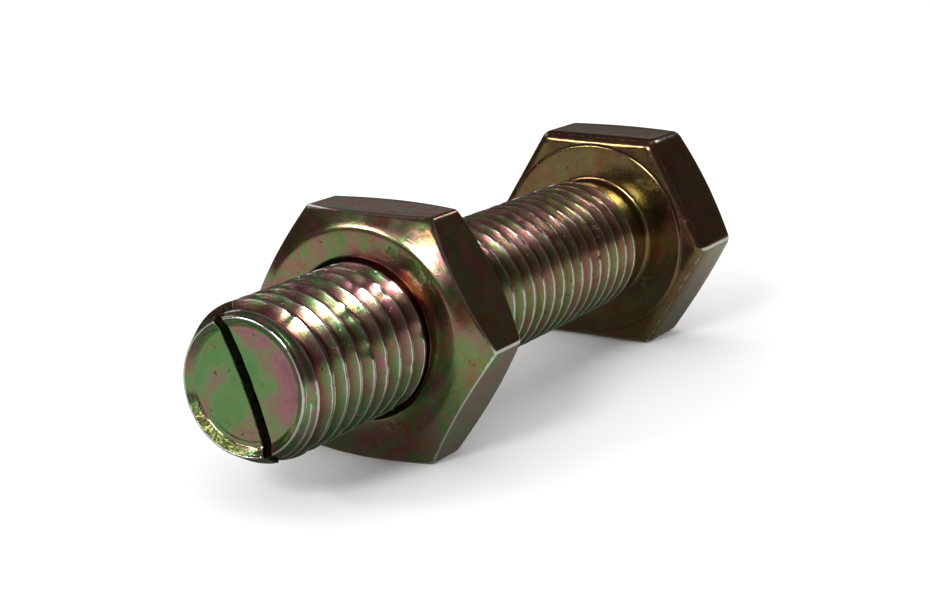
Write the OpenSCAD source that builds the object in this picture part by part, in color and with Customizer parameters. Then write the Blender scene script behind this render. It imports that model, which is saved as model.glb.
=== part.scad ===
// Hexagon bolt threaded to the head, with a saw-cut slot across its rolled cup end,
// and a thin hexagon lock nut on its thread.
// Millimetres. +X runs along the thread from the head to the slotted end, and +Z is up
// with both hexagons lying on a flat. The origin is the centre of the face under the head.

/* [Thread] */
// Nominal thread diameter
thread_d = 12; // [11.5:0.25:12.5]
// Thread pitch
pitch = 1.75; // [1.5:0.25:2]
// Facets in one turn of the thread
turn_facets = 30; // [24:6:36]
// Distance of the first crest behind the end, on the +Y side
first_crest = 0.75; // [0.4:0.05:1]

/* [Bolt] */
// Length from the face under the head to the slotted end
bolt_length = 55; // [45:5:70]
// Width across the flats of the head and the nut
across_flats = 19; // [18:0.5:21]
// Height of the head
head_height = 7.5; // [6:0.1:9]
// Diameter where the chamfer meets the top of the head
head_top_d = 18; // [16:0.1:18.8]
// Diameter of the raised washer face under the head
washer_face_d = 17.4; // [15:0.1:17.8]
// Height of the washer face
washer_face_h = 0.3; // [0.2:0.05:0.6]
// Diameter of the plain neck
neck_d = 10.8; // [10.2:0.1:11.2]
// Length of the plain neck
neck_length = 3; // [2:0.1:4]

/* [Cup end] */
// Outer diameter of the rolled lip
lip_d = 10.15; // [9.9:0.05:10.2]
// Diameter of the mouth of the cup
cup_mouth_d = 9.7; // [9.3:0.1:9.7]
// Diameter of the floor of the cup
cup_floor_d = 8.6; // [7.6:0.1:9.2]
// Depth of the cup at the edge of its floor
cup_depth = 0.4; // [0.2:0.02:0.6]
// How much deeper the floor is in its middle
dish_depth = 0.3; // [0.1:0.05:0.5]
// Width of the slot
slot_width = 0.8; // [0.6:0.1:2]
// Depth of the slot from the lip
slot_depth = 1.75; // [1.25:0.25:3.5]
// Turn of the slot away from upright
slot_angle = 23; // [0:1:90]

/* [Nut] */
// Height of the nut
nut_height = 7; // [5:0.1:10]
// Distance from the slotted end to the near face of the nut
nut_gap = 14.8; // [4:0.1:30]
// Diameter where the chamfer meets each face of the nut
nut_face_d = 16.9; // [15:0.1:18]
// Diameter of the countersink at each face of the nut
countersink_d = 12.5; // [12.3:0.1:13.2]

/* [Hidden] */
hex_d = across_flats / cos(30);
crest_r = thread_d / 2 - 0.08;
root_r = thread_d / 2 - 0.6134 * pitch;
crest_flat = 0.15 * pitch;
nut_crest_r = thread_d / 2 + 0.05;
nut_root_r = thread_d / 2 - 0.5 * pitch;
nut_crest_flat = 0.12 * pitch;
crest_x = bolt_length - first_crest;
thread_start = neck_length - 0.4;
thread_end = bolt_length - 0.45;
nut_x = bolt_length - nut_gap - nut_height;
slack = 0.02;

// Radius of a thread at the distance u from the middle of a crest.
function thread_r(u, flat, tip, root) =
    let (d = abs(u - pitch * round(u / pitch)))
    max(root, min(tip, tip - (d - flat / 2) / tan(30)));

// Axial position of row i on the column at angle t, held between x0 and x1.
function row_x(i, t, flat, tip, root, x0, x1) =
    let (f = (tip - root) * tan(30),
         b = [-flat / 2, flat / 2, flat / 2 + f, pitch - flat / 2 - f][i % 4],
         m = floor((x0 - crest_x) / pitch) - 2 + floor(i / 4),
         x = crest_x + pitch * (t / 360 + m) + b)
    x < x0 + slack ? x0 : x > x1 - slack ? x1 : x;

// Threaded stretch from x0 to x1: one column of rows for each facet of a turn, with the rows
// following the helix. Its radius starts at e0 and ends at e1, and s0 and s1 are the slopes
// with which it reaches the full thread.
module threaded(x0, x1, flat, tip, root, e0, s0, e1, s1) {
    n = turn_facets;
    rows = 4 * (ceil((x1 - x0) / pitch) + 5);
    x = [for (j = [0 : n - 1]) [for (i = [0 : rows - 1])
        row_x(i, 360 * j / n, flat, tip, root, x0, x1)]];
    points = [for (j = [0 : n - 1], i = [0 : rows - 1])
        let (t = 360 * j / n, p = x[j][i],
             r = min(thread_r(p - crest_x - pitch * t / 360, flat, tip, root),
                     e0 + s0 * (p - x0), e1 + s1 * (x1 - p)))
        [p, r * cos(t), r * sin(t)]];
    function at(j, i) = j < n ? j * rows + i : min(i + 4, rows - 1);
    function row(j, i) = j < n ? x[j][i] : x[0][min(i + 4, rows - 1)];
    sides = [for (j = [0 : n - 1], i = [0 : rows - 2])
        let (a = row(j, i), b = row(j, i + 1), c = row(j + 1, i + 1), d = row(j + 1, i))
        each [if (a != b) [at(j, i), at(j, i + 1), at(j + 1, i + 1)],
              if (c != d) [at(j, i), at(j + 1, i + 1), at(j + 1, i)]]];
    starts = [for (j = [0 : n - 1]) [n * rows, at(j, 0), at(j + 1, 0)]];
    ends = [for (j = [0 : n - 1]) [n * rows + 1, at(j + 1, rows - 1), at(j, rows - 1)]];
    polyhedron(points = concat(points, [[x0, 0, 0], [x1, 0, 0]]),
               faces = concat(sides, starts, ends), convexity = 10);
}

// Round body along +X from an outline of [distance along the axis, radius].
module turned(outline) {
    rotate([0, 90, 0]) rotate_extrude($fn = 96)
        polygon([for (p = outline) [p[1], p[0]]]);
}

// Hexagon prism along +X, lying on a flat.
module hexagon(x, length) {
    translate([x, 0, 0]) rotate([0, 90, 0]) rotate([0, 0, 30])
        cylinder(h = length, d = hex_d, $fn = 6);
}

module bolt() {
    edge = hex_d / 2 + 1;
    top = -head_height;
    color([0.62, 0.58, 0.36])
    difference() {
        union() {
            intersection() {
                hexagon(top, head_height - washer_face_h);
                turned([[top, 0], [top, head_top_d / 2],
                        [top + (edge - head_top_d / 2) * tan(30), edge], [1, edge], [1, 0]]);
            }
            turned([[-1, 0], [-1, washer_face_d / 2 - 0.1], [-0.1, washer_face_d / 2],
                    [0, washer_face_d / 2 - 0.1], [0, neck_d / 2 + 0.4],
                    [0.4, neck_d / 2], [neck_length, neck_d / 2], [neck_length, 0]]);
            threaded(thread_start, thread_end, crest_flat, crest_r, root_r,
                     root_r - 0.2, 1.2, lip_d / 2 + 0.22, 0.5);
            turned([[thread_end - 0.2, 0], [thread_end - 0.2, root_r - 0.1],
                    [bolt_length - 0.26, lip_d / 2], [bolt_length - 0.1, lip_d / 2],
                    [bolt_length, lip_d / 2 - 0.08], [bolt_length, 0]]);
        }
        turned([[bolt_length - cup_depth - dish_depth, 0],
                [bolt_length - cup_depth, cup_floor_d / 2],
                [bolt_length, cup_mouth_d / 2], [bolt_length + 1, cup_mouth_d / 2],
                [bolt_length + 1, 0]]);
        rotate([slot_angle, 0, 0])
            translate([bolt_length - slot_depth, -slot_width / 2, -crest_r - 1])
                cube([slot_depth + 1, slot_width, 2 * crest_r + 2]);
    }
}

module nut() {
    edge = hex_d / 2 + 1;
    bevel = (edge - nut_face_d / 2) * tan(30);
    sink = (countersink_d / 2 - nut_root_r + 0.2) * tan(40);
    color([0.58, 0.55, 0.38])
    difference() {
        intersection() {
            hexagon(nut_x, nut_height);
            turned([[nut_x, 0], [nut_x, nut_face_d / 2], [nut_x + bevel, edge],
                    [nut_x + nut_height - bevel, edge],
                    [nut_x + nut_height, nut_face_d / 2], [nut_x + nut_height, 0]]);
        }
        threaded(nut_x - 1, nut_x + nut_height + 1, nut_crest_flat, nut_crest_r,
                 nut_root_r, 20, 0, 20, 0);
        turned([[nut_x - 1, 0], [nut_x - 1, countersink_d / 2], [nut_x, countersink_d / 2],
                [nut_x + sink, nut_root_r - 0.2], [nut_x + sink, 0]]);
        turned([[nut_x + nut_height + 1, 0], [nut_x + nut_height + 1, countersink_d / 2],
                [nut_x + nut_height, countersink_d / 2],
                [nut_x + nut_height - sink, nut_root_r - 0.2],
                [nut_x + nut_height - sink, 0]]);
    }
}

bolt();
nut();
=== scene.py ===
import math

import bmesh
import bpy
import numpy as np
from mathutils import Matrix, Vector


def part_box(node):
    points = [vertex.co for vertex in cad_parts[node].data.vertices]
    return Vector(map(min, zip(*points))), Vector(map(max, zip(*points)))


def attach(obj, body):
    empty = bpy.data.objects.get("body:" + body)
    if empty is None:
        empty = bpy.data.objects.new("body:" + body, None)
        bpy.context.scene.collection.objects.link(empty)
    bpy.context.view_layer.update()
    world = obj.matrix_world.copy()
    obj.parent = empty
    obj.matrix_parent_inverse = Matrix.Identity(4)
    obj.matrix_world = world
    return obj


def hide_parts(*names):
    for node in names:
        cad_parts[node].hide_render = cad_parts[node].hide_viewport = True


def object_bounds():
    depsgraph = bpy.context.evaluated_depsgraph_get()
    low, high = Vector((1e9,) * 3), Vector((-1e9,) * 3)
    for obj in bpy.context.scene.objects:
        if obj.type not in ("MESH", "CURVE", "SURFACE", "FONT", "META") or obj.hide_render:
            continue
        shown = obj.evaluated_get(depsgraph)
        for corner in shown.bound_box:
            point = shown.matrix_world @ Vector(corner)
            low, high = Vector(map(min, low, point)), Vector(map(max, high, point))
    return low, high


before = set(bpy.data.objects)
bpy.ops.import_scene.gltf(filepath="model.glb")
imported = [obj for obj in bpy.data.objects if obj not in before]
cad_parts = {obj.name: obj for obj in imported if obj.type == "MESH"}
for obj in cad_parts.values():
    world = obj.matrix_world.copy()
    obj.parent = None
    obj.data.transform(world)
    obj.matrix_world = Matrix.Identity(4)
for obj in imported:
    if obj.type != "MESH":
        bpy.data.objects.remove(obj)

cad_box = [list(p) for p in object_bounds()]

# ---------------------------------------------------------------- sizes, in millimetres
# The thread's axis is x. The head's top is at TOP, the face under the head at 0 and the slotted
# end at TIP; the nut lies between NUT0 and NUT1. Names ending in _R, and the crests, roots, lip
# and mouth, are radii.
bolt_lo, bolt_hi = (1000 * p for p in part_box("bolt"))
nut_lo, nut_hi = (1000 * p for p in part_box("nut"))
TOP, TIP, FLAT = bolt_lo.x, bolt_hi.x, bolt_hi.z            # FLAT: half the width across flats
NUT0, NUT1 = nut_lo.x, nut_hi.x
PITCH = 1.75
CREST, ROOT = 5.92, 6 - 0.6134 * PITCH
NUT_CREST, NUT_ROOT = 6.05, 6 - 0.5 * PITCH
NUT_HALF_CREST = 0.06 * PITCH
CREST_X = TIP - 0.75                                        # the first crest, at the angle 0
THREAD_START, THREAD_END = 2.9, TIP - 0.45
NECK_R = 5.4
HEAD_CONE_R, HEAD_CORNER = 9.0, 0.9                         # inner circle of the chamfer and
NUT_CONE_R, NUT_CORNER = 8.45, 0.42                         # rounding of the hexagon's corners
SINK_R = 6.25                                               # rim of the nut's countersink
LIP, MOUTH, FLOOR_R, CUP, DISH = 5.11, 4.87, 4.3, 0.4, 0.3
SLOT_W, SLOT_DEPTH, SLOT_TURN = 0.8, 1.75, math.radians(23)
TAN30, TAN34, TAN40 = (math.tan(math.radians(a)) for a in (30, 34, 40))

COLUMNS = 192                                               # points round the axis
SNAP = 0.015                                                # rows this near an end lie on it
rng = np.random.default_rng(12)
turn = np.arange(COLUMNS) * 2 * math.pi / COLUMNS
turn = turn - 0.72 / 6 * np.sin(6 * turn)                   # denser at the hexagon's corners


# ---------------------------------------------------------------- curves
def smooth_min(a, b, k):
    h = np.clip(0.5 + 0.5 * (b - a) / k, 0, 1)
    return b * (1 - h) + a * h - k * h * (1 - h)


def smooth_max(a, b, k):
    return -smooth_min(-a, -b, k)


def step(lo, hi, v):
    s = np.clip((v - lo) / (hi - lo), 0, 1)
    return s * s * (3 - 2 * s)


def near(v, width):
    """1 where v is 0, falling away over the width."""
    return np.exp(-(v / width) ** 2)


def from_corner(t):
    """Angle between t and the nearest corner of a flats-down hexagon."""
    return (t + math.pi / 6) % (math.pi / 3) - math.pi / 6


def hexagon(t, corner):
    """Radius of that hexagon, with its corners rounded, at the angle t."""
    phi = np.abs(from_corner(t))
    side = FLAT / np.cos(math.pi / 6 - phi)
    centre = (FLAT - corner) / math.cos(math.pi / 6)
    arc = centre * np.cos(phi) + np.sqrt(np.maximum(corner ** 2 - (centre * np.sin(phi)) ** 2, 0))
    touch = math.pi / 6 - math.atan((FLAT - corner) * TAN30 / FLAT)
    return np.where(phi < touch, arc, side)


def lumps(t, x, seed, waves=9):
    """Smooth seeded unevenness on the cylinder, about -1 to 1."""
    g = np.random.default_rng(seed)
    out = np.zeros(np.broadcast(t, x).shape)
    for _ in range(waves):
        n = int(g.integers(1, 14))
        out += g.uniform(0.4, 1) * np.sin(n * t + g.uniform(0.2, 3.0) * x + g.uniform(0, 6.28))
    return out / waves * 1.6


def cup_floor(r):
    """Where the dished floor of the cup lies along x."""
    return TIP - CUP - DISH * (1 - (r / FLOOR_R) ** 2)


# ---------------------------------------------------------------- mesh building
class Skin:
    """A closed surface of rows round the axis. A row holds one point for each column; wrap
    says which row follows it where the columns close, so that helical rows can join."""

    def __init__(self):
        self.x, self.r, self.wrap = [], [], []

    def ring(self, x, r):
        one = np.ones(COLUMNS)
        self.x.append(x * one)
        self.r.append(r * one)
        self.wrap.append(len(self.x) - 1)

    def rings(self, rows):
        for x, r in rows:
            self.ring(x, r)

    def helix(self, x0, x1, offsets, radius):
        """Rows along the thread between x0 and x1. offsets(s) gives the row places from the
        crest's middle for a crest s turns from the end, and radius(x, u, s) the radius."""
        start = len(self.x)
        m0 = math.floor((x0 - CREST_X) / PITCH) - 2
        m1 = math.ceil((x1 - CREST_X) / PITCH) + 2
        for m in range(m0, m1):
            s = -(m + turn / (2 * math.pi))
            places = offsets(s)
            for off in places:
                x = CREST_X - s * PITCH + off
                self.x.append(np.where(x < x0 + SNAP, x0, np.where(x > x1 - SNAP, x1, x)))
        last = len(self.x) - 1
        for i in range(start, last + 1):
            x = self.x[i]
            u = x - (CREST_X + PITCH * turn / (2 * math.pi))
            k = np.round(u / PITCH)
            self.r.append(radius(x, u - k * PITCH, -(k + turn / (2 * math.pi))))
            self.wrap.append(min(i + len(places), last))

    def object(self, name, loop=False):
        """The mesh object. With loop, the last row joins the first."""
        x, r = np.array(self.x), np.array(self.r)
        rows = len(x)
        pts = np.stack([x, r * np.cos(turn), r * np.sin(turn)], -1).reshape(-1, 3)
        i, j = np.meshgrid(np.arange(rows if loop else rows - 1), np.arange(COLUMNS),
                           indexing="ij")
        i2 = (i + 1) % rows
        wrap = np.array(self.wrap)
        edge = j == COLUMNS - 1
        a, b = i * COLUMNS + j, i2 * COLUMNS + j
        c = np.where(edge, wrap[i2] * COLUMNS, i2 * COLUMNS + j + 1)
        d = np.where(edge, wrap[i] * COLUMNS, i * COLUMNS + j + 1)
        _, first, same = np.unique(np.round(pts * 1e5).astype(np.int64), axis=0,
                                   return_index=True, return_inverse=True)
        same = same.reshape(-1)
        quads = same[np.stack([a, d, c, b], -1).reshape(-1, 4)]
        faces = []
        for q in quads.tolist():
            f = [v for n, v in enumerate(q) if v != q[n - 1]]
            if len(set(f)) >= 3 and len(set(f)) == len(f):
                faces.append(f)
        return mesh_object(name, pts[first], faces)


def mesh_object(name, points, faces, place=Matrix()):
    """A mesh object with its faces turned outward, from points in millimetres."""
    mesh = bpy.data.meshes.new(name)
    mesh.from_pydata((np.array(points) / 1000).tolist(), [], faces)
    mesh.transform(place)
    bm = bmesh.new()
    bm.from_mesh(mesh)
    bmesh.ops.recalc_face_normals(bm, faces=bm.faces)
    bm.to_mesh(mesh)
    bm.free()
    obj = bpy.data.objects.new(name, mesh)
    bpy.context.scene.collection.objects.link(obj)
    return obj


# ---------------------------------------------------------------- the bolt
def crest_flat(s):
    """Width of the crest s turns from the end. The first turn is rolled broad."""
    return PITCH * (0.15 + 0.18 * np.exp(-np.maximum(s, 0) / 0.7))


def bolt_offsets(s):
    half = crest_flat(s) / 2
    low = np.minimum(half + (CREST - ROOT) * TAN30, 0.79)
    crest = [-half * 0.95, -half * 0.5, 0 * half, half * 0.5, half * 0.95]
    return [low - PITCH + 0.1, -low - 0.02, -low + 0.1, -half - 0.08] + crest + \
           [half + 0.08, low - 0.1, low + 0.02]


def draw_nicks(count, turns, depths, widths):
    """Nicks in the crests: place in turns from the end, depth, and width in turns."""
    return [(rng.uniform(0, turns), rng.uniform(*depths), rng.uniform(*widths))
            for _ in range(count)]


nicks = draw_nicks(90, 28, (0.015, 0.07), (0.005, 0.014))
nicks += draw_nicks(30, 8, (0.04, 0.12), (0.006, 0.016))


def bolt_radius(x, u, s):
    flat = crest_flat(s)
    r = CREST - (np.abs(u) - flat / 2) / TAN30
    r = smooth_min(r, CREST + 0 * r, 0.10)
    r = smooth_max(r, ROOT + 0 * r, 0.22)
    seam = 0.035 + 0.20 * np.exp(-np.maximum(s, 0) / 0.8)   # the rolled fold along the crest
    r = r - seam * near(u, 0.20 * flat) * (r > CREST - 0.3)
    top = step(ROOT + 0.4, CREST - 0.05, r)
    for at, deep, wide in nicks:
        r = r - top * deep * near(s - at, wide)
    r = r + top * 0.004 * lumps(turn, x * 2.3, 5) + 0.002 * lumps(turn, x * 3.1, 8)
    r = np.minimum(r, NECK_R + 1.2 * (x - THREAD_START))    # runs out into the neck
    r = np.maximum(r, NECK_R - 1.5 * (x - THREAD_START))
    return np.minimum(r, LIP + 0.17 + 0.5 * (THREAD_END - x))


skin = Skin()
edge_r = hexagon(turn, HEAD_CORNER)

# the head's top, its chamfer and the rounding into the flats
skin.rings([(TOP + 0.04, 0), (TOP + 0.04, 3), (TOP + 0.03, 6), (TOP + 0.01, 7.6), (TOP, 8.4),
            (TOP + 0.005, 8.8), (TOP + 0.03, 8.97)])
for k in (0.15, 0.5, 0.85):
    r = HEAD_CONE_R + (edge_r - HEAD_CONE_R) * k
    skin.ring(TOP + (r - HEAD_CONE_R) * TAN30, r)
ends = TOP + (edge_r - HEAD_CONE_R) * TAN30
skin.rings([(ends - 0.03, edge_r - 0.07), (ends + 0.03, edge_r - 0.015), (ends + 0.12, edge_r)])

# the flats, the rolled near edge, the washer face and the neck
ROLL_X = -1.35
for k in (0.25, 0.5, 0.75):
    skin.ring(ends + 0.12 + (ROLL_X - ends - 0.12) * k, edge_r)
for x, drop in [(ROLL_X, 0), (-1.05, 0.05), (-0.74, 0.19), (-0.50, 0.42), (-0.35, 0.70),
                (-0.30, 1.0)]:
    skin.ring(x, edge_r - drop)
skin.rings([(-0.30, 8.84), (-0.28, 8.76), (-0.20, 8.71), (-0.08, 8.68), (-0.02, 8.63), (0, 8.5),
            (0, 7.2), (0, 6.0), (0.03, 5.72), (0.12, 5.52), (0.3, 5.43), (0.6, NECK_R),
            (1.8, NECK_R), (2.6, NECK_R)])
skin.helix(THREAD_START, THREAD_END, bolt_offsets, bolt_radius)

# the lip
end_r = skin.r[-1]
rag = -np.abs(0.02 * lumps(turn, 0, 21) + 0.012 * lumps(3 * turn, 0, 22))
skin.rings([(THREAD_END + 0.07, 0.45 * end_r + 0.55 * (LIP - 0.05) - 0.03),
            (THREAD_END + 0.15, LIP - 0.04 + rag), (THREAD_END + 0.25, LIP + rag),
            (TIP - 0.12, LIP - 0.005 + rag), (TIP - 0.05, LIP - 0.05 + rag * 0.7),
            (TIP - 0.01, LIP - 0.11 + rag * 0.5), (TIP, LIP - 0.16), (TIP - 0.015, LIP - 0.21)])

# the cup's uneven wall and its dished floor, with shallow turned rings
wall_rows = [(TIP - 0.05, MOUTH), (TIP - 0.11, 4.76), (TIP - 0.17, 4.68), (TIP - 0.23, 4.59),
             (TIP - 0.29, 4.50), (TIP - 0.34, 4.42), (TIP - 0.38, 4.35)]
for n, (x, r) in enumerate(wall_rows):
    skin.ring(x + 0.022 * lumps(3 * turn, 3 * n, 30) + 0.012 * lumps(7 * turn, 5 * n, 31),
              r + 0.02 * lumps(4 * turn, 2 * n, 33))
for r, cut in [(4.30, 0), (4.27, 0.02), (4.18, 0), (3.92, 0), (3.84, 0.02), (3.76, 0.004),
               (3.3, 0.004), (3.16, 0.02), (3.05, 0.006), (2.4, 0.006), (1.7, 0.006),
               (1.0, 0.006), (0, 0.006)]:
    skin.ring(cup_floor(r) - cut, r)
bolt = skin.object("bolt_steel")


def slot_cutter():
    """A blade across the end. Its chamfer follows the dished floor and rises over the lip."""
    side, base = SLOT_W / 2, TIP - SLOT_DEPTH
    verts, faces = [], []
    along = np.concatenate([np.linspace(-7, -4.4, 9), np.linspace(-4.2, 4.2, 25),
                            np.linspace(4.4, 7, 9)])
    for v in along:
        a = abs(v)
        if a < FLOOR_R:
            x = cup_floor(a)
        elif a < MOUTH:
            x = TIP - CUP + CUP * (a - FLOOR_R) / (MOUTH - FLOOR_R)
        else:
            x = TIP
        wave = 0.012 * math.sin(3.1 * v) + 0.008 * math.sin(9.7 * v + 1)
        c = 0.055 + 0.015 * math.sin(4.3 * v)
        outline = [(base, -0.75 * side), (base + 0.09, -side), (x - c, -side), (x, -side - c),
                   (x + 1, -side - c - 1), (x + 1, side + c + 1), (x, side + c * 0.6),
                   (x - c * 0.6, side), (base + 0.09, side), (base, 0.75 * side)]
        verts += [(px, w + wave, v) for px, w in outline]
    n = len(outline)
    for k in range(len(along) - 1):
        for p in range(n):
            q = (p + 1) % n
            faces.append((k * n + p, k * n + q, (k + 1) * n + q, (k + 1) * n + p))
    faces.append(tuple(range(n))[::-1])
    faces.append(tuple((len(along) - 1) * n + p for p in range(n)))
    return mesh_object("blade", verts, faces, Matrix.Rotation(SLOT_TURN, 4, "X"))


blade = slot_cutter()
cut = bolt.modifiers.new("slot", "BOOLEAN")
cut.operation, cut.object, cut.solver = "DIFFERENCE", blade, "EXACT"
bpy.context.view_layer.update()
slotted = bolt.evaluated_get(bpy.context.evaluated_depsgraph_get())
slotted = bpy.data.meshes.new_from_object(slotted)
bolt.modifiers.clear()
bolt.data = slotted
bpy.data.objects.remove(blade)

# ---------------------------------------------------------------- the nut
skin = Skin()
edge_r = hexagon(turn, NUT_CORNER)


def from_faces(x):
    """How deep x lies inside the nut, from the nearer face."""
    return np.minimum(x - NUT0, NUT1 - x)


def nut_offsets(s):
    half = NUT_HALF_CREST + 0 * s
    low = half + (NUT_CREST - NUT_ROOT) * TAN30
    return [low - PITCH + 0.08, -low, -low + 0.06, -half - 0.04, -half, half, half + 0.04,
            low - 0.06, low]


def nut_radius(x, u, s):
    r = NUT_CREST - (np.abs(u) - NUT_HALF_CREST) / TAN30
    r = smooth_min(r, NUT_CREST + 0 * r, 0.03)
    r = smooth_max(r, NUT_ROOT + 0 * r, 0.05)
    return np.maximum(r, SINK_R - from_faces(x) / TAN40)


def chamfer(r):
    """How far the nut's chamfer lies behind its face: softly rounded, then a 34 degree cone."""
    def soft(d):
        return 0.5 * (d + np.sqrt(d * d + 0.09)) * TAN34
    return np.maximum(soft(r - NUT_CONE_R) - soft(-0.8), 0)


def nut_side(face, sign, order):
    """Rows of one face, from the countersink out to the flats. sign points into the nut."""
    cone = 8.95
    rows = [(0.05, SINK_R - 0.02), (0.01, SINK_R + 0.05), (0, SINK_R + 0.14), (0, 7.0), (0, 7.64)]
    rows += [(chamfer(r), r) for r in (7.9, 8.1, 8.25, 8.35, 8.45, 8.55, 8.67, 8.8, cone)]
    rows += [(chamfer(cone + (edge_r - cone) * k), cone + (edge_r - cone) * k)
             for k in (0.2, 0.5, 0.75)]
    e = chamfer(edge_r)
    rows += [(e - 0.035, edge_r - 0.05), (e + 0.03, edge_r - 0.012), (e + 0.11, edge_r)]
    skin.rings((face + sign * x, r) for x, r in rows[::order])


nut_side(NUT1, -1, 1)
for k in (1.6, 0, -1.6):
    skin.ring((NUT0 + NUT1) / 2 + k, edge_r)
nut_side(NUT0, 1, -1)
skin.helix(NUT0 + 0.08, NUT1 - 0.08, nut_offsets, nut_radius)
nut = skin.object("nut_steel", loop=True)

for obj in (bolt, nut):
    obj.data.shade_smooth()
    obj.data.set_sharp_from_angle(angle=math.radians(42))


# ---------------------------------------------------------------- where wear and stain lie
def points(obj):
    """Place along x, radius, angle and coordinates of every point, in millimetres."""
    co = np.empty(len(obj.data.vertices) * 3)
    obj.data.vertices.foreach_get("co", co)
    co = co.reshape(-1, 3) * 1000
    return co[:, 0], np.hypot(co[:, 1], co[:, 2]), np.arctan2(co[:, 2], co[:, 1]), co


def on_thread(x, t):
    """Distance from the nearest crest's middle, and that crest's turns from the end."""
    u = (x - CREST_X) / PITCH - t / (2 * math.pi)
    return np.abs(u - np.round(u)) * PITCH, -np.round(u) - t / (2 * math.pi)


def keep(obj, **layers):
    for name, value in layers.items():
        a = obj.data.attributes.new(name, "FLOAT", "POINT")
        a.data.foreach_set("value", np.clip(value, 0, 1).astype(np.float32))


def hex_wear(x, r, t, corner, cone, slope, faces):
    """Wear along a hexagon's edges: its corners and the lines where chamfers meet flats."""
    radius = hexagon(t, corner)
    outside = step(0.5, 0.1, radius - r)
    wear = near(from_corner(t) * r, 0.20) * outside
    for face, sign in faces:
        wear = np.maximum(wear, outside * near(x - face - sign * (radius - cone) * slope, 0.10))
    return wear


x, r, t, co = points(bolt)
u, s = on_thread(x, t)
thread = step(THREAD_START, 3.4, x) * step(TIP - 0.35, TIP - 0.5, x) * (r > 4.85)
crest_width = 0.070 + 0.06 * np.exp(-np.maximum(s, 0) / 0.6)
wear = thread * near(u - crest_flat(np.maximum(s, 0)) / 2 + 0.02, crest_width)
# painted shade: the deeper half of each flank is coloured dark red in the material
root = thread * step(0.28, 0.52, CREST - r) * (x < TIP - 0.9)

head = x < -0.25
wear = np.where(head, hex_wear(x, r, t, HEAD_CORNER, HEAD_CONE_R, TAN30, [(TOP, 1)]), wear)
# painted highlight: a pale stripe along the head's rounded near edge, put in with the wear
under = near(hexagon(t, HEAD_CORNER) - r - 0.14, 0.20) * near(x + 0.62, 0.32)
wear = np.where(head, np.maximum(wear, 0.70 * under), wear)

wear = np.where((x > TIP - 0.5) & (r > 4.7), near(r - (LIP - 0.12), 0.12), wear)
across = np.abs(co[:, 1] * math.cos(SLOT_TURN) + co[:, 2] * math.sin(SLOT_TURN))
slot_edge = near(across - SLOT_W / 2 - 0.03, 0.05) * (x > TIP - 0.8) * (r < 5.2)
wear = np.maximum(wear, 0.5 * slot_edge)
# the inside of the slot, which the material colours almost black as painted shade
inside = (across < SLOT_W / 2 + 0.035) & (x < TIP - 0.12) & (x > TIP - SLOT_DEPTH - 0.1) \
    & ((r < 4.2) & (x < cup_floor(r) - 0.07) | (r >= 4.2) & (x < TIP - 0.5))

end_face = (x > TIP - 0.8) & (r < 4.28)
wall = (x > TIP - 0.45) & (r > 4.25) & (r < 5.0)
# painted glints: the lower left of the cup's wall, where the light catches it, is given gold
# sparkle in the material
lower_left = step(0.68, 0.97, np.cos(t - math.radians(237)))
keep(bolt,
     wear=np.where(inside, 0, wear),
     root=root,
     turned=np.where(end_face, 1.0, np.where(x < TOP + 0.06, 0.7, 0.9 * thread)),
     dark=np.where(inside, 1.0, 0.0),
     gold=np.where(wall, step(4.25, 4.5, r), 0) * lower_left,
     flank=thread * (1 - root) * (1 - wear),
     face=np.where(end_face, 1.0, 0.0))

x, r, t, _ = points(nut)
u, _ = on_thread(x, t)
deep = from_faces(x)
bore = r < SINK_R + 0.02
wear = hex_wear(x, r, t, NUT_CORNER, NUT_CONE_R, TAN34, [(NUT0, 1), (NUT1, -1)])
upper_right = near(t - math.pi / 3, 0.05) * step(8, 10.5, r) * step(NUT1 - 0.9, NUT1 - 1.6, x)
wear = wear * (1 - 0.55 * upper_right)
rim = near(r - SINK_R - 0.04, 0.07) * (deep < 0.2)
# painted shade: deep in the bore the nut is coloured dark, and its thread roots dark red
keep(nut,
     wear=np.maximum(wear, 0.6 * rim),
     root=np.where(bore, step(0.3, 0.0, u), 0),
     turned=np.where((deep < 1.3) & (r < 10.4) & (r > 6.2), 1.0, 0),
     dark=np.where(bore & (deep > 0.9), 0.7, 0),
     gold=0 * x, flank=0 * x, face=0 * x)


# ---------------------------------------------------------------- nodes
class Tree:
    """Short names for making and joining shader nodes."""

    def __init__(self, owner):
        owner.use_nodes = True
        self.nodes, self.links = owner.node_tree.nodes, owner.node_tree.links

    def new(self, kind, *inputs):
        n = self.nodes.new("ShaderNode" + kind)
        for socket, v in zip(n.inputs, inputs):
            self.put(socket, v)
        return n

    def put(self, socket, v):
        """Sets a socket to a number, vector or colour, or joins an output or a node to it."""
        if isinstance(v, (int, float)):
            socket.default_value = v
        elif isinstance(v, tuple):
            socket.default_value = v if len(v) == len(socket.default_value) else v + (1,)
        else:
            self.links.new(v.outputs[0] if hasattr(v, "outputs") else v, socket)

    def op(self, kind, a, b=0.0, clamp=False):
        n = self.new("Math", a, b)
        n.operation, n.use_clamp = kind, clamp
        return n

    def ramp(self, fac, *stops):
        n = self.new("ValToRGB", fac)
        e = n.color_ramp.elements
        while len(e) < len(stops):
            e.new(0.5)
        for k, (pos, col) in enumerate(stops):
            e[k].position = pos
            e[k].color = (col, col, col, 1) if isinstance(col, (int, float)) else col + (1,)
        return n

    def mix(self, fac, a, b):
        n = self.new("Mix")
        n.data_type = "RGBA"
        for key, v in ((0, fac), (6, a), (7, b)):
            self.put(n.inputs[key], v)
        return n.outputs[2]

    def add(self, *terms):
        total = terms[0]
        for term in terms[1:]:
            total = self.op("ADD", total, term)
        return total

    def times(self, a, b):
        return self.op("MULTIPLY", a, b)


PER_LENGTH = 1000 / 55                          # turns metres into lengths of the bolt


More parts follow.
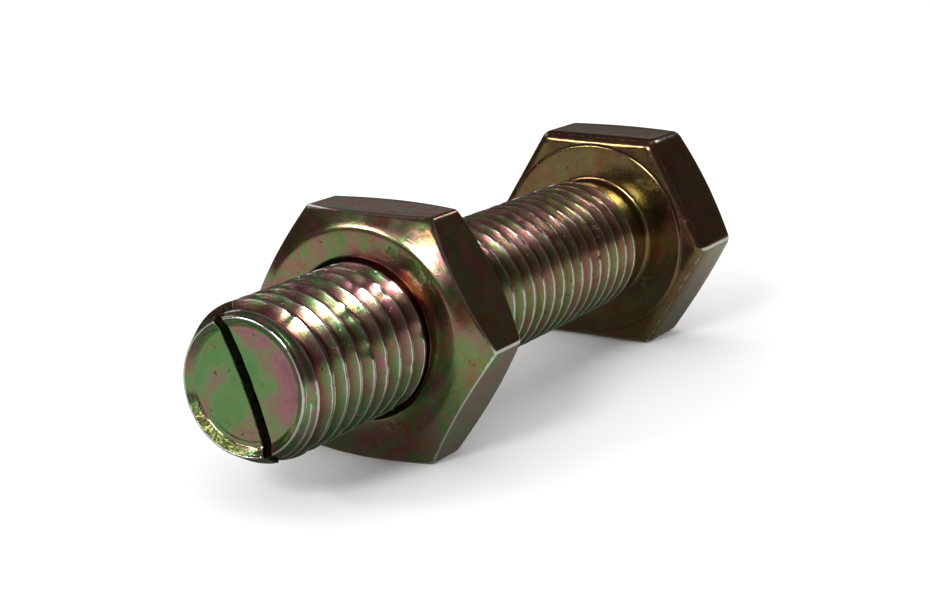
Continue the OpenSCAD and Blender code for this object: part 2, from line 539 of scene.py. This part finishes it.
def plating(name, seed, bias, brown, warm, even, pink):
    """Yellow-chromated zinc: mottled green, olive and magenta, worn to silver on the edges.

    bias drifts the end face from green to pink, brown is the umber towards the head, even the
    umber everywhere, warm the rust-coloured patches and pink a shift of the whole tone."""
    mat = bpy.data.materials.new(name)
    tree = Tree(mat)
    tree.nodes.clear()
    op, ramp, mix, add, times = tree.op, tree.ramp, tree.mix, tree.add, tree.times
    out = tree.new("OutputMaterial")
    bsdf = tree.new("BsdfPrincipled")
    tree.put(out.inputs["Surface"], bsdf)
    coord = tree.new("TexCoord").outputs["Object"]

    def noise(scale, detail=4, rough=0.55, vector=None, distort=0.0, offset=(0, 0, 0)):
        m = tree.new("Mapping", vector or coord)
        m.inputs["Location"].default_value = tuple(o + seed * 0.017 for o in offset)
        n = tree.new("TexNoise", m)
        for key, v in (("Scale", scale), ("Detail", detail), ("Roughness", rough),
                       ("Distortion", distort)):
            n.inputs[key].default_value = v
        return n

    def attr(key):
        n = tree.new("Attribute")
        n.attribute_name = key
        return n.outputs["Fac"]

    cx, cy, cz = tree.new("SeparateXYZ", coord).outputs
    radius = op("SQRT", add(times(cy, cy), times(cz, cz)))
    angle = op("ARCTAN2", cz, cy)
    polar = tree.new("CombineXYZ", radius, times(angle, 0.0006), times(cx, 0.6)).outputs[0]
    streaks = noise(1500, 3, 0.6, vector=polar)

    # tone, from green (low) to magenta (high): mottling, with larger blotches on the end face, a
    # drift over the thread's flanks from green below to purple on top, partly the plating's tint
    # and partly a painted reflection of the dark room above, and streaks round the axis
    big = noise(300, 5, 0.62, distort=0.9)
    fine = noise(1100, 6, 0.65, distort=0.5)
    tone = add(times(big, 0.68), times(fine, 0.32))
    soft = add(times(noise(185, 3, 0.5, distort=0.5, offset=(1, 3, 2)), 0.8), times(fine, 0.2))
    tone = add(tone, times(op("SUBTRACT", soft, tone), attr("face")))
    tone = add(tone, times(times(cy, 1000 * bias), attr("face")), pink)
    # painted reflection, partly the plating's tint: the flanks turn purple higher up and green
    # lower down
    tone = add(tone, times(attr("flank"), op("SUBTRACT", times(cz, 9.0), 0.012)))
    tone = add(tone, times(op("SUBTRACT", streaks, 0.5), times(attr("turned"), 0.16)))
    colour = ramp(tone, (0.30, (0.16, 0.36, 0.12)), (0.46, (0.23, 0.43, 0.17)),
                  (0.51, (0.34, 0.38, 0.20)), (0.55, (0.43, 0.29, 0.22)),
                  (0.61, (0.54, 0.24, 0.28)), (0.72, (0.38, 0.17, 0.23)))

    # umber patches towards the head, painted shade that darkens the head, and rust
    aged = ramp(times(cx, PER_LENGTH), (0.05, 1.0), (0.75, 0.0))
    patch = ramp(noise(210, 4, 0.6, distort=0.8, offset=(2, 9, 5)), (0.36, 0.55), (0.62, 1.0))
    umber = ramp(noise(330, 5, 0.62, distort=1.0, offset=(8, 2, 3)),
                 (0.38, (0.38, 0.30, 0.11)), (0.50, (0.36, 0.21, 0.10)), (0.62, (0.34, 0.12, 0.07)))
    colour = mix(times(add(times(aged, brown), even), patch), colour, umber)
    # painted shade: the head's colour is darkened so that it reflects less light
    colour = mix(ramp(times(cx, PER_LENGTH), (0.02, 0.42), (0.10, 0.0)), colour,
                 (0.17, 0.085, 0.04))
    rust = ramp(noise(420, 3, 0.5, distort=1.2, offset=(3, 1, 7)), (0.54, 0.0), (0.68, 1.0))
    colour = mix(times(rust, warm), colour, (0.48, 0.17, 0.08))

    # painted glints on the lower left of the cup's wall, painted shade in the thread roots, bare
    # metal on the worn edges and a painted highlight on the head's near edge
    glitter = ramp(noise(4200, 4, 0.7, offset=(7, 3, 3)), (0.50, 0.0), (0.62, 1.0))
    colour = mix(attr("gold"), colour, mix(glitter, (0.075, 0.095, 0.025), (0.62, 0.66, 0.24)))
    colour = mix(times(attr("root"), 0.9), colour, (0.25, 0.045, 0.05))
    # bare metal where the edges are worn, and the head's painted highlight stripe
    ragged = add(attr("wear"), times(op("SUBTRACT", noise(2600, 5, 0.7), 0.5), 0.9))
    worn = ramp(ragged, (0.50, 0.0), (0.72, 1.0))
    colour = mix(worn, colour, (0.84, 0.85, 0.82))

    # pits, chalky stains, and painted shade inside the slot and deep in the nut's bore
    pits = ramp(noise(1900, 2, 0.4, offset=(9, 4, 2)), (0.24, 1.0), (0.29, 0.0))
    colour = mix(times(pits, 0.75), colour, (0.07, 0.05, 0.035))
    chalk = ramp(times(noise(260, 4, 0.6, offset=(5, 8, 1)),
                       noise(2400, 6, 0.75, offset=(2, 2, 6))), (0.36, 0.0), (0.46, 1.0))
    colour = mix(times(chalk, 0.45), colour, (0.55, 0.54, 0.50))
    colour = mix(attr("dark"), colour, (0.05, 0.04, 0.03))
    tree.put(bsdf.inputs["Base Color"], colour)

    bsdf.inputs["Metallic"].default_value = 1.0
    rough = add(0.10, times(noise(800, 5, 0.6, offset=(1, 5, 3)), 0.20), times(chalk, 0.2),
                times(attr("dark"), 0.3), times(attr("gold"), 0.14))
    rough = op("SUBTRACT", rough, times(worn, 0.06), clamp=True)
    tree.put(bsdf.inputs["Roughness"], rough)

    # relief, in metres: fine grain, soft waviness, turning marks round the axis, and pits
    marks = noise(5200, 3, 0.6, vector=polar)
    grain = noise(7000, 4, 0.6)
    waves = noise(520, 3, 0.5, offset=(4, 4, 4))
    wave_height = op("SUBTRACT", 0.00002, times(attr("flank"), 0.000013))
    height = add(times(grain, 0.0000045), times(waves, wave_height),
                 times(times(marks, attr("turned")), 0.000008),
                 times(noise(3000, 4, 0.7, offset=(6, 6, 2)), times(attr("gold"), 0.00011)))
    height = op("SUBTRACT", height, times(pits, 0.00001))
    bump = tree.new("Bump")
    for key, v in (("Strength", 1.0), ("Distance", 1.0), ("Height", height)):
        tree.put(bump.inputs[key], v)
    tree.put(bsdf.inputs["Normal"], bump)
    return mat


bolt_look = plating("bolt_plating", 1, bias=0.028, brown=0.88, warm=0.30, even=0.0, pink=0.0)
nut_look = plating("nut_plating", 4, bias=0, brown=0.25, warm=0.75, even=0.42, pink=0.035)
for obj, node, look in ((bolt, "bolt", bolt_look), (nut, "nut", nut_look)):
    obj.data.materials.clear()
    obj.data.materials.append(look)
    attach(obj, node)
    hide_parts(node)

# ---------------------------------------------------------------- floor
# Plain and pale to the camera. In the bolt's reflections it is a glow with a painted shadow: dark
# close by and lighter further off.
scene = bpy.context.scene
scene.view_settings.view_transform = "Standard"
FLOOR_HALF, LOW = 3, cad_box[0][2]
mesh = bpy.data.meshes.new("floor")
mesh.from_pydata([(-FLOOR_HALF, -FLOOR_HALF, LOW), (FLOOR_HALF, -FLOOR_HALF, LOW),
                  (FLOOR_HALF, FLOOR_HALF, LOW), (-FLOOR_HALF, FLOOR_HALF, LOW)],
                 [], [(0, 1, 2, 3)])
floor = bpy.data.objects.new("floor", mesh)
scene.collection.objects.link(floor)
paint = bpy.data.materials.new("pale_floor")
mesh.materials.append(paint)
tree = Tree(paint)
pale = tree.nodes["Principled BSDF"]
tree.put(pale.inputs["Base Color"], (0.93, 0.93, 0.93))
tree.put(pale.inputs["Roughness"], 0.9)

fx, fy, _ = tree.new("SeparateXYZ", tree.new("TexCoord").outputs["Object"]).outputs
beyond = tree.op("MAXIMUM", tree.op("SUBTRACT", fx, TIP / 1000), 0.0)
beyond = tree.op("MAXIMUM", beyond, tree.op("SUBTRACT", TOP / 1000, fx))
away = tree.op("SQRT", tree.add(tree.times(beyond, beyond), tree.times(fy, fy)))
# painted shadow in reflections: the floor's glow is weak near the bolt and stronger further off
shade = tree.new("MapRange", away, 0.004, 0.020, 0.08, 0.50)
mirror = tree.new("Emission", (0.96, 1, 0.90), shade)
glossy = tree.new("LightPath").outputs["Is Glossy Ray"]
tree.put(tree.nodes["Material Output"].inputs[0], tree.new("MixShader", glossy, pale, mirror))

# ---------------------------------------------------------------- light
# The world is white to the camera and to diffuse light, and a dark room in reflections.
scene.world = bpy.data.worlds.new("studio")
tree = Tree(scene.world)
tree.nodes.clear()
rise = tree.new("SeparateXYZ", tree.new("TexCoord").outputs["Generated"]).outputs[2]
sky = tree.ramp(tree.new("MapRange", rise, -1, 1),
                (0.0, (0.20, 0.19, 0.17)), (0.36, (0.42, 0.41, 0.38)), (0.46, (0.30, 0.28, 0.24)),
                (0.52, (0.05, 0.04, 0.03)), (0.75, (0.045, 0.03, 0.03)), (1.0, (0.10, 0.07, 0.07)))
glossy = tree.new("LightPath").outputs["Is Glossy Ray"]
both = tree.new("MixShader", glossy, tree.new("Background", (1, 1, 1), 1.0),
                tree.new("Background", sky))
tree.put(tree.new("OutputWorld").inputs[0], both)


def direction(azimuth, elevation):
    a, e = math.radians(azimuth), math.radians(elevation)
    return Vector((math.cos(e) * math.cos(a), math.cos(e) * math.sin(a), math.sin(e)))


def softbox(name, azimuth, elevation, width, height, radiance):
    """A rectangular light in that direction, 0.6 m from the middle of the bolt."""
    d = direction(azimuth, elevation)
    light = bpy.data.lights.new(name, "AREA")
    light.shape, light.size, light.size_y = "RECTANGLE", width, height
    light.energy = radiance * width * height * math.pi
    obj = bpy.data.objects.new(name, light)
    obj.location = Vector((0.03, 0, 0)) + d * 0.6
    obj.rotation_euler = d.to_track_quat("Z", "Y").to_euler()
    scene.collection.objects.link(obj)


softbox("key", 6, 31, 0.13, 0.11, 34)
softbox("left_top", -33, 29, 0.20, 0.05, 24)
softbox("back", 165, 32, 0.16, 0.08, 3)
softbox("back_left", -150, 14, 0.25, 0.08, 0.22)
softbox("fill", -100, 35, 0.3, 0.2, 0.8)

# ---------------------------------------------------------------- camera
camera = bpy.data.cameras.new("camera")
camera.sensor_fit, camera.sensor_width, camera.lens = "HORIZONTAL", 36, 75.98
camera.clip_start = 0.01
view = bpy.data.objects.new("camera", camera)
AZIMUTH, ELEVATION = 29.40, 14.13
back = direction(AZIMUTH, ELEVATION)
right = Vector((-math.sin(math.radians(AZIMUTH)), math.cos(math.radians(AZIMUTH)), 0))
view.matrix_world = Matrix.Translation((0.1597, 0.0765, 0.0387)) @ \
    Matrix((right, back.cross(right), back)).transposed().to_4x4()
scene.collection.objects.link(view)
scene.camera = view
